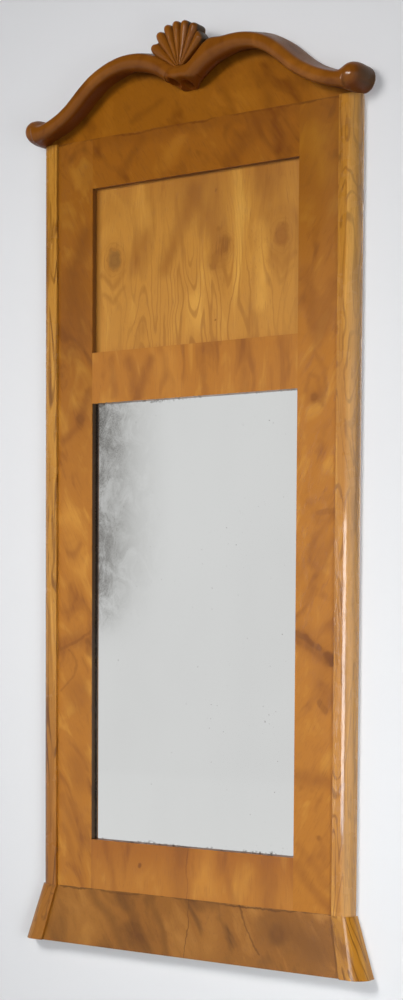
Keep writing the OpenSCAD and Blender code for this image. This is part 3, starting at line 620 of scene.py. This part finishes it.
WOODS = {
    "stile_left": wood("veneer_left", FRAME, 1.0, turn=24, contrast=1.25, gloss=0.1, strokes=LEFT_MARKS,
                       knots=((-0.2251, 0.8861, 0.04),), fade=(0.66, 1.12, (0.7, 0.65, 0.46)),
                       extra=painted_rebate_shade),
    "stile_right": wood("veneer_right", FRAME, 2.0, turn=-28, contrast=1.1, strokes=RIGHT_MARKS,
                        knots=((0.2316, 0.8931, 0.04), (0.2592, 0.4973, 0.03)),
                        fade=(0.92, 1.3, (0.64, 0.57, 0.2)), gloss=0.08),
    "bottom_rail": wood("veneer_bottom", FRAME, 3.0, figure=(26.0, 10.0), contrast=0.8,
                        strokes=BOTTOM_MARKS, fade=(0.1, 0.19, (0.78, 0.67, 0.5))),
    "mid_rail": wood("veneer_middle", FRAME, 4.0, figure=(34.0, 9.0), contrast=0.95,
                     strokes=MID_MARKS),
    "top_rail": wood("veneer_top", CREST_RAIL, 5.0, turn=34, contrast=0.95, strokes=TOP_MARKS,
                     gloss=0.05),
    # The panel's fade darkens its top with painted shade under the top rail
    "upper_panel": wood("veneer_panel", PANEL, 6.0, grain=(320.0, 4.0), figure=(20.0, 4.0),
                        contrast=1.1, strokes=PANEL_MARKS, knots=[knot[:3] for knot in PANEL_KNOTS],
                        fade=(1.18, 1.27, (0.84, 0.78, 0.74)), extra=low_lines),
    "crest_board": wood("veneer_crest", CREST, 7.0, turn=38, contrast=1.2, strokes=CREST_MARKS,
                        coat=(0.35, 0.16, 1.5), gloss=0.03),
    "plinth_facing": wood("veneer_plinth", PLINTH, 8.0, figure=(18.0, 9.0), turn=30, contrast=1.3,
                          strokes=PLINTH_MARKS, coat=(0.3, 0.12, 1.45)),
    "pilaster_left": wood("elm_left", TAN, 9.0, figure=(40.0, 2.2), contrast=1.6, rough=(0.2, 0.3),
                          shares=(0.5, 0.3, 0.2), rings=(34.0, 3.0, 7.0, 0.75), coat=(0.6, 0.08, 1.5),
                          fade=(0.7, 0.15, (0.66, 0.52, 0.34))),
    "pilaster_right": wood("elm_right", ELM, 10.0, figure=(40.0, 2.2), contrast=1.6,
                           rough=(0.2, 0.3), shares=(0.5, 0.3, 0.2), rings=(30.0, 5.0, 8.0, 0.55),
                           coat=(0.85, 0.06, 1.65), fade=(1.15, 0.75, (0.94, 0.88, 0.76)),
                           extra=painted_corner_sheen),
    "foot_left": wood("elm_foot_left", TAN, 11.0, figure=(30.0, 5.0), turn=-20, contrast=1.5,
                      shares=(0.5, 0.3, 0.2), rings=(34.0, 6.0, 8.0, 0.5), coat=(0.4, 0.1, 1.5),
                      fade=(0.12, 0.1, (0.66, 0.54, 0.36))),
    "foot_right": wood("elm_foot_right", ELM, 12.0, figure=(30.0, 5.0), turn=20, contrast=1.6,
                       shares=(0.5, 0.3, 0.2), rings=(40.0, 5.0, 9.0, 0.75), coat=(0.55, 0.08, 1.5),
                       fade=(0.13, 0.1, (0.82, 0.8, 0.8))),
}
carved = wood("carved", CARVED, 13.0, grain=(260.0, 40.0), figure=(18.0, 14.0), contrast=1.2,
              rough=(0.3, 0.4), pores=0.15, coat=(CARVED_COAT, 0.08, 1.5), gloss=0.05,
              extra=painted_carving_shade)
pine = wood("bare_pine", PINE, 14.0, grain=(300.0, 3.0), figure=(30.0, 1.5), contrast=1.2,
            shares=(0.5, 0.28, 0.22), rough=(0.7, 0.85), pores=0.4, coat=(0.0, 0.3, 1.5))
pine_across = wood("bare_pine_across", PINE, 15.0, grain=(300.0, 3.0), figure=(26.0, 1.4),
                   contrast=1.2, shares=(0.5, 0.28, 0.22), across=True, rough=(0.7, 0.85),
                   pores=0.4, rings=(16.0, 0.9, 9.0, 0.3), coat=(0.0, 0.3, 1.5))


# Old mirror and metals


def old_mirror():
    """Silvered glass with a dark left edge, dark specks round it and stains at the top left. The
    dark left edge is a painted reflection of the shaded reveal beside it.
    """
    g, shader = surface("old_mirror")
    p = g.place()
    x, _, z = g.split(p)
    side = g.math("SUBTRACT", OPEN_X, g.math("ABSOLUTE", x))
    ends = g.math("MINIMUM", g.math("SUBTRACT", z, MIRROR_LOW), g.math("SUBTRACT", MIRROR_HIGH, z))
    edge = g.math("MINIMUM", side, ends)
    spots = g.noise(g.stretch(p, (110.0, 110.0, 110.0)), 4.0, 0.65)
    blotch = g.noise(g.stretch(p, (17.0, 17.0, 12.0), (0, 0, 4)), 3.0, 0.6)
    reach = g.smooth(blotch, 0.45, 0.75, 0.002, 0.012)
    fox = g.math("MULTIPLY", g.smooth(g.math("DIVIDE", edge, reach), 1.0, 0.2),
                 g.smooth(spots, 0.46, 0.66))
    freckle = g.noise(g.stretch(p, (260.0, 260.0, 260.0)), 2.0)
    freckle = g.smooth(g.math("ADD", freckle, g.math("MULTIPLY", blotch, 0.25)), 0.86, 0.89)
    fox = g.math("MAXIMUM", fox, g.math("MULTIPLY", freckle, 0.7))
    flat = g.vector("MULTIPLY", p, (1, 0, 1))
    smoke = g.noise(g.stretch(p, (30.0, 30.0, 22.0), (3, 0, 0)), 5.0, 0.7, 0.6)
    wide = g.stroke(flat, ((-0.2, 0.88), (-0.2, 0.68)), 0.17, squash=(1, 1, 0.8))
    tight = g.stroke(flat, ((-0.19, 0.89), (-0.2, 0.6)), 0.085, squash=(1, 1, 0.9))
    grain = g.smooth(g.noise(g.stretch(p, (420.0, 420.0, 420.0)), 3.0, 0.7), 0.4, 0.62)
    veil = g.math("MULTIPLY", wide, g.smooth(smoke, 0.2, 0.62, 0.45, 1.0))
    stain_and_shade = g.math("MULTIPLY", tight, g.smooth(smoke, 0.34, 0.66, 0.15, 1.0))
    stain_and_shade = g.math("MULTIPLY", stain_and_shade, g.smooth(grain, 0.0, 1.0, 0.6, 1.0))
    haze = g.smooth(g.noise(g.stretch(p, (3.0, 3.0, 2.0)), 3.0, 0.6), 0.35, 0.7)
    tint = g.mix(g.math("MULTIPLY", haze, 0.4), (0.9, 0.905, 0.89), (0.82, 0.82, 0.81))
    tint = g.mix(g.math("MULTIPLY", veil, 0.84), tint, (0.5, 0.495, 0.47))
    tint = g.mix(g.math("MULTIPLY", stain_and_shade, 0.85), tint, (0.2, 0.19, 0.175))
    # Painted reflection of the shaded reveal: a dark strip along the left edge
    rim = g.math("MULTIPLY", g.smooth(g.math("ADD", x, OPEN_X), 0.0055, 0.0035),
                 g.smooth(spots, 0.3, 0.6, 0.65, 1.0))
    tint = g.mix(rim, tint, (0.13, 0.115, 0.1))
    g.plug(shader.inputs["Base Color"],
           g.mix(g.math("MULTIPLY", fox, 0.85), tint, (0.16, 0.13, 0.1)))
    shader.inputs["Metallic"].default_value = 1.0
    rough = g.math("ADD", g.math("MULTIPLY", haze, 0.03), 0.03)
    rough = g.math("ADD", rough, g.math("MULTIPLY", stain_and_shade, 0.2))
    g.plug(shader.inputs["Roughness"], g.math("ADD", rough, g.math("MULTIPLY", fox, 0.4)))
    waves = g.noise(g.stretch(p, (5.0, 5.0, 3.5)), 1.0)
    g.plug(shader.inputs["Normal"], g.bump(waves, 0.2, 0.002))
    return g.owner


def metal(name, bright, rust, shine):
    g, shader = surface(name)
    p = g.place()
    patch = g.noise(g.stretch(p, (120.0, 120.0, 120.0)), 4.0, 0.65)
    g.plug(shader.inputs["Base Color"], g.mix(g.smooth(patch, 0.4, 0.65), bright, rust))
    shader.inputs["Metallic"].default_value = 0.85
    g.plug(shader.inputs["Roughness"], g.smooth(patch, 0.3, 0.7, shine, shine + 0.3))
    pits = g.noise(g.stretch(p, (700.0, 700.0, 700.0)), 2.0)
    g.plug(shader.inputs["Normal"], g.bump(pits, 0.3, 0.0005))
    return g.owner


iron = metal("dark_iron", (0.2, 0.19, 0.18), (0.13, 0.08, 0.055), 0.4)
WOODS.update({
    "plinth_core": pine_across, "backboard_lower": pine_across, "backboard_middle": pine_across,
    "backboard_upper": pine_across, "frame_dowels": pine, "mirror_glass": old_mirror(),
    "backboard_brads": iron, "hanging_plates": iron,
    "hanging_screws": metal("screw_steel", (0.35, 0.34, 0.32), (0.22, 0.19, 0.17), 0.3),
})
SOFT_EDGES = {"foot_left": 0.0014, "foot_right": 0.0014, "pilaster_left": 0.0009,
              "pilaster_right": 0.0009, "plinth_facing": 0.0006, "mirror_glass": 0.0002,
              "crest_board": 0.0006}
SOFT_EDGE = 0.0004
NO_BEVEL = ("backboard_brads", "hanging_screws", "frame_dowels")
for name, obj in nodes.items():
    obj.data.materials.clear()
    obj.data.materials.append(WOODS.get(name, carved))
    if name in WOODS and name not in NO_BEVEL:
        soft = obj.modifiers.new("soft_edges", "BEVEL")
        soft.width = SOFT_EDGES.get(name, SOFT_EDGE)
        soft.segments = 2
        soft.limit_method = "ANGLE"
        soft.angle_limit = math.radians(40)
        soft.harden_normals = False


# Carved crest, drawn in millimetres: X, distance from the wall, Z

# Front edge's curve of the right half: a hump round (X, Z, radius), a slope, and a valley. It runs
# from where the halves meet to where it joins the knob
HUMP = (101.0, 1325.0, 130.0)
MEET_X = 15
SLOPE_A, SLOPE_L = math.radians(40), 25.0
VALLEY_R, VALLEY_END = 195.0, math.radians(10)
BOARD_D = 17.0
KNOB = (304.2, 1364.0)
normal = np.array([math.sin(SLOPE_A), math.cos(SLOPE_A)])
tangent = np.array([math.cos(SLOPE_A), -math.sin(SLOPE_A)])
slope_start = np.array(HUMP[:2]) + HUMP[2] * normal
slope_end = slope_start + SLOPE_L * tangent
valley = slope_end + VALLEY_R * normal
# Moulding: offset from the front edge's curve and distance from the wall, once round. Towards
# the middle of the crest it gets the second, fuller underside
TOP_SIDE = [(9.0, 17.0), (7.2, 25.0), (5.0, 35.0), (2.8, 45.0), (1.3, 51.0), (0.3, 54.0),
            (-1.6, 56.2), (-4.5, 57.5), (-8.0, 58.2)]
SECTION = np.array(TOP_SIDE + [
    (-11.5, 58.2), (-15.0, 57.2), (-18.0, 55.2), (-20.0, 52.3), (-20.8, 49.0), (-20.4, 45.0),
    (-19.4, 39.5), (-18.4, 33.0), (-17.6, 26.5), (-17.2, 20.5), (-17.2, 17.0),
])
FULL_SECTION = np.array(TOP_SIDE + [
    (-12.0, 58.2), (-16.0, 57.2), (-19.5, 54.8), (-22.4, 51.0), (-24.6, 46.2), (-25.6, 40.8),
    (-25.2, 35.0), (-23.8, 29.5), (-21.4, 24.6), (-18.8, 20.4), (-17.2, 17.0),
])
FULL_FROM, FULL_TO = 150, 70
# The right moulding's top rises beside the shell, and the left hump is fuller on its outer slope:
# middle X, reach and height
RISE_X, RISE_REACH, RISE = 52, 19, 9.0
FULLER_X, FULLER_REACH, FULLER = 200, 34, 4.5


CREASE = math.radians(50)


def piece(name, points, faces, node):
    """Closed piece from points in millimetres, which stands for a solid part."""
    mesh = bpy.data.meshes.new(name)
    mesh.from_pydata([(x * MM, -d * MM, z * MM) for x, d, z in points], [], faces)
    mesh.validate()
    turn = bmesh.new()
    turn.from_mesh(mesh)
    bmesh.ops.recalc_face_normals(turn, faces=turn.faces)
    turn.edges.ensure_lookup_table()
    for edge in turn.edges:
        edge.smooth = edge.calc_face_angle(0.0) < CREASE
    turn.to_mesh(mesh)
    turn.free()
    mesh.polygons.foreach_set("use_smooth", [True] * len(mesh.polygons))
    mesh.materials.append(carved)
    obj = link(bpy.data.objects.new(name, mesh))
    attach(obj, "root")
    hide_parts(node)
    return obj


def ease(value, low, high):
    t = np.clip((value - low) / (high - low), 0, 1)
    return t * t * (3 - 2 * t)


def hill(x, middle, reach, height):
    return height * math.exp(-(((x - middle) / reach) ** 2))


def tube_faces(rows, n):
    """Faces between rows of n points, each row once round, and over both ends."""
    faces = []
    for i in range(rows - 1):
        for j in range(n):
            k = (j + 1) % n
            faces.append((i * n + j, i * n + k, (i + 1) * n + k, (i + 1) * n + j))
    last = rows * n - 1
    return faces + [tuple(range(n)), tuple(range(last, last - n, -1))]


def sweep(stations, rise=0.0):
    """Points and faces of the moulding along stations of (x, z, normal x, normal z). Its top rises
    beside the shell and closes the gap to it."""
    points = []
    for x, z, nx, nz in stations:
        section = SECTION + (FULL_SECTION - SECTION) * ease(x, FULL_FROM, FULL_TO)
        lift = hill(x, RISE_X, RISE_REACH, rise)
        for off, d in section:
            points.append((x + nx * off, d, z + nz * off + lift * ease(off, -10.0, 3.0)))
    return points, tube_faces(len(stations), len(SECTION))


def crest_curve():
    """Stations of the front edge's curve on the right half."""
    stations = []
    for phi in np.linspace(math.asin((MEET_X - HUMP[0]) / HUMP[2]), SLOPE_A, 54):
        nx, nz = math.sin(phi), math.cos(phi)
        stations.append((HUMP[0] + HUMP[2] * nx, HUMP[1] + HUMP[2] * nz, nx, nz))
    for share in np.linspace(0, 1, 6)[1:]:
        x, z = slope_start + share * SLOPE_L * tangent
        stations.append((x, z, *normal))
    for phi in np.linspace(SLOPE_A, VALLEY_END, 26)[1:]:
        nx, nz = math.sin(phi), math.cos(phi)
        stations.append((valley[0] - VALLEY_R * nx, valley[1] - VALLEY_R * nz, nx, nz))
    return stations


curve = crest_curve()
points, faces = sweep(curve, RISE)
carving = [piece("moulding_right", points, faces, "crest_moulding_right")]
fuller = []
for x, z, nx, nz in curve:
    out = hill(x, FULLER_X, FULLER_REACH, FULLER)
    fuller.append((x + nx * out, z + nz * out, nx, nz))
points, faces = sweep(fuller)
carving.append(piece("moulding_left", [(-x, d, z) for x, d, z in points], faces,
                     "crest_moulding_left"))


def outline_distance(u, v, outline):
    """Signed distance of points to a closed outline, negative inside."""
    best = np.full(u.shape, 1e9)
    inside = np.zeros(u.shape, bool)
    for (ax, ay), (bx, by) in zip(outline, np.roll(outline, -1, axis=0)):
        ex, ey = bx - ax, by - ay
        share = np.clip(((u - ax) * ex + (v - ay) * ey) / (ex * ex + ey * ey), 0, 1)
        best = np.minimum(best, (u - ax - share * ex) ** 2 + (v - ay - share * ey) ** 2)
        if ay != by:
            inside ^= ((ay > v) != (by > v)) & (u < ex * (v - ay) / (by - ay) + ax)
    return np.where(inside, -1, 1) * np.sqrt(best)


def melt(a, b, k):
    """Union of two signed distances with a fillet about k wide."""
    h = np.clip(k - np.abs(a - b), 0, None) / k
    return np.minimum(a, b) - h * h * k / 4


def ball(x, d, z, middle, radii):
    """About the distance to an ellipsoid, negative inside."""
    k = np.sqrt(((x - middle[0]) / radii[0]) ** 2 + ((d - middle[1]) / radii[1]) ** 2
                + ((z - middle[2]) / radii[2]) ** 2)
    return (k - 1) * min(radii)


def carve(field, low, high, step):
    """Points and faces of the surface where field is 0, on a grid between two corners."""
    axes = [np.arange(a, b + step, step) for a, b in zip(low, high)]
    x, d, z = np.meshgrid(*axes, indexing="ij")
    f = field(x, d, z)
    f[[0, -1]] = np.maximum(f[[0, -1]], 0.01)
    f[:, [0, -1]] = np.maximum(f[:, [0, -1]], 0.01)
    f[:, :, [0, -1]] = np.maximum(f[:, :, [0, -1]], 0.01)
    sign = f < 0
    cells = tuple(n - 1 for n in f.shape)
    total, count = np.zeros(cells + (3,)), np.zeros(cells)
    crossings = []
    for axis in range(3):
        here = [slice(None)] * 3
        there = [slice(None)] * 3
        here[axis], there[axis] = slice(None, -1), slice(1, None)
        fa, fb = f[tuple(here)], f[tuple(there)]
        cut = sign[tuple(here)] != sign[tuple(there)]
        crossings.append(cut)
        share = np.where(cut, fa / np.where(cut, fa - fb, 1), 0)
        spot = np.stack(np.meshgrid(*[np.arange(n) for n in cut.shape], indexing="ij"), -1)
        spot = spot.astype(float)
        spot[..., axis] += share
        others = [k for k in range(3) if k != axis]
        for da in (0, 1):
            for db in (0, 1):
                pick = [slice(None)] * 3
                pick[others[0]] = slice(da, da + cells[others[0]])
                pick[others[1]] = slice(db, db + cells[others[1]])
                part = cut[tuple(pick)]
                total += spot[tuple(pick)] * part[..., None]
                count += part
    used = count > 0
    index = np.full(cells, -1)
    index[used] = np.arange(used.sum())
    places = total[used] / count[used][:, None] * step + np.array([a[0] for a in axes])
    faces = []
    for axis in range(3):
        a, b = [k for k in range(3) if k != axis]
        for i, j, k in np.argwhere(crossings[axis]):
            cell = [i, j, k]
            ring = []
            for da, db in ((0, 0), (1, 0), (1, 1), (0, 1)):
                at = list(cell)
                at[a] -= da
                at[b] -= db
                ring.append(int(index[tuple(at)]))
            faces.append(tuple(ring))
    return [tuple(p) for p in places], faces


def relax(obj, times):
    soft = obj.modifiers.new("relax", "SMOOTH")
    soft.factor, soft.iterations = 0.5, times


# Knobs, which the mouldings swell into

KNOB_SIDE = [(0.0, 0.4), (20.3, 0.4), (20.3, 24.0), (19.7, 32.0), (18.2, 39.5), (15.6, 46.0),
             (12.0, 50.8), (7.0, 54.0), (0.0, 55.3)]
KNOB_OUTLINE = np.array(KNOB_SIDE + [(-r, d) for r, d in KNOB_SIDE[-2:0:-1]])
KNOB_LOW, KNOB_HIGH, KNOB_STEP = (258, -1, 1338), (328, 59, 1392), 1.25
# The moulding's arm ends inside the knob at ARM_END, thins out into the moulding between the two
# ARM_FADE places, and meets the knob with a fillet. SWELL makes both a little thicker
ARM_END, ARM_FADE, ARM_FILLET, SWELL = 297, (262, 282), 11.0, 0.3


def knob_field(x, d, z):
    knob = outline_distance(np.hypot(x - KNOB[0], z - KNOB[1]), d, KNOB_OUTLINE)
    off = VALLEY_R - np.hypot(x - valley[0], z - valley[1])
    arm = np.maximum(outline_distance(off, d, SECTION), x - ARM_END)
    both = melt(knob, arm, ARM_FILLET) + 0.9 * (1 - ease(x, *ARM_FADE)) - SWELL
    return np.maximum(both, 0.4 - d)


points, faces = carve(knob_field, KNOB_LOW, KNOB_HIGH, KNOB_STEP)
for side, name in ((1, "right"), (-1, "left")):
    knob = piece("knob_" + name, [(side * x, d, z) for x, d, z in points], faces,
                 "crest_knob_" + name)
    relax(knob, 4)
    carving.append(knob)


# Drop under the shell, where the mouldings meet: their arms, a round boss and a web below it,
# cut off slanting at the bottom, with two scooped hollows

BOSS = ((-4.0, 44.0, 1411.5), (19.0, 15.5, 14.5))
WEB_X, WEB_HALF, WEB_TOP, WEB_FRONT = -2, 14, 1412, 55
DROP_BOTTOM, DROP_SLANT = 1391.5, 0.3
SCOOPS, SCOOP_SIZE = ((-16.5, 44.0, 1398.0), (4.0, 35.0, 1394.5)), (8.0, 17.0, 10.0)
DROP_TOP, DROP_ENDS = 1430, (14, 26)
DROP_LOW, DROP_HIGH, DROP_STEP = (-30, 15, 1384), (30, 63, 1432), 1.0


def drop_field(x, d, z):
    across = np.sqrt(x * x + 30)
    arms = outline_distance(np.hypot(across - HUMP[0], z - HUMP[1]) - HUMP[2], d, FULL_SECTION)
    under = 0.95 * (DROP_BOTTOM + DROP_SLANT * (d - 18) - z)
    web = np.maximum(np.maximum(np.abs(x - WEB_X) - WEB_HALF, under),
                     np.maximum(z - WEB_TOP, d - WEB_FRONT))
    form = melt(melt(arms, ball(x, d, z, *BOSS), 9.0), web, 6.0)
    form = -melt(-form, -under, 4.0)
    for middle in SCOOPS:
        form = -melt(-form, ball(x, d, z, middle, SCOOP_SIZE), 2.0)
    form = form + 1.1 * ease(np.abs(x), *DROP_ENDS) - SWELL
    return np.maximum(np.maximum(form, BOARD_D + 0.1 - d), z - DROP_TOP)


points, faces = carve(drop_field, DROP_LOW, DROP_HIGH, DROP_STEP)
drop = piece("drop_carving", points, faces, "shell_drop")
relax(drop, 3)
carving.append(drop)


# Shell: ribs that fan out from the hinge to round tips

HINGE_Z = 1416.0
SHELL_BACK = 31.0
# Angle in degrees, distance of the tip's middle from the hinge and radius of the tip
LOBES = ((50.0, 59.7, 8.3), (32.0, 66.2, 7.7), (17.9, 67.8, 7.7), (4.2, 67.9, 7.5),
         (-9.3, 67.4, 7.5), (-24.4, 65.8, 7.7), (-39.0, 53.5, 7.6))
OUTER_HALF, RIB_STEPS = 8.6, 16
RIB_START, TIP_ROUND, TIP_DROP = 7.0, 6.0, 7.5
HINGE_D, RIB_FALL = 55.6, 1.6


def shell_columns():
    """Angle of each column, and how far it is from its rib's ridge (0) to the valley (-1 or 1)."""
    angles = [lobe[0] for lobe in LOBES]
    bounds = [angles[0] + OUTER_HALF]
    bounds += [(a + b) / 2 for a, b in zip(angles, angles[1:])]
    bounds += [angles[-1] - OUTER_HALF]
    columns = []
    for i in range(len(LOBES)):
        for s in np.linspace(0, 1, RIB_STEPS + 1)[:-1]:
            columns.append((bounds[i] + s * (bounds[i + 1] - bounds[i]), 2 * s - 1))
    columns.append((bounds[-1], 1.0))
    return columns


def shell_reach(a):
    """How far the shell's outline is from the hinge at an angle."""
    reach = 0.0
    for angle, length, r in LOBES:
        off = math.radians(a - angle)
        side = abs(length * math.sin(off))
        near = length * math.cos(off)
        reach = max(reach, near + (math.sqrt(r * r - side * side) if side < r else 0.0))
    return reach


def shell_chain(reach, ridge):
    """One column from hinge to tip along the front and back along the back."""
    chain = []
    for t in (0, 0.12, 0.25, 0.4, 0.55, 0.7, 0.85, 1.0):
        rho = RIB_START + t * (reach - TIP_ROUND - RIB_START)
        grow = 0.6 + 6.3 * (rho / 66.0) ** 1.3
        chain.append((rho, HINGE_D - RIB_FALL * t + grow * ridge))
    front = chain[-1][1]
    for s in (0.3, 0.55, 0.75, 0.9, 1.0):
        chain.append((reach - TIP_ROUND + TIP_ROUND * s, front - TIP_DROP * (1 - math.sqrt(1 - s * s))))
    low = chain[-1][1]
    for t in (0.4, 0.8):
        chain.append((reach, low + t * (SHELL_BACK + 1.5 - low)))
    return chain + [(reach - 0.5, SHELL_BACK + 0.4), (reach - 2.0, SHELL_BACK),
                    (reach * 0.5, SHELL_BACK), (RIB_START, SHELL_BACK)]


def shell_mesh():
    columns = shell_columns()
    points = []
    for a, u in columns:
        chain = shell_chain(shell_reach(a), 1 - abs(u) ** 2.6)
        sin, cos = math.sin(math.radians(a)), math.cos(math.radians(a))
        points += [(-rho * sin, d, HINGE_Z + rho * cos) for rho, d in chain]
    return points, tube_faces(len(columns), len(chain))


points, faces = shell_mesh()
shell = piece("shell_carving", points, faces, "shell")
carving.append(shell)

# The glint shines on shell and knobs only, and the window on neither the carving nor the glass
shine_on(glint, [shell] + [obj for obj in carving if obj.name.startswith("knob")], "INCLUDE")
shine_on(window, carving + [nodes["mirror_glass"]], "EXCLUDE")
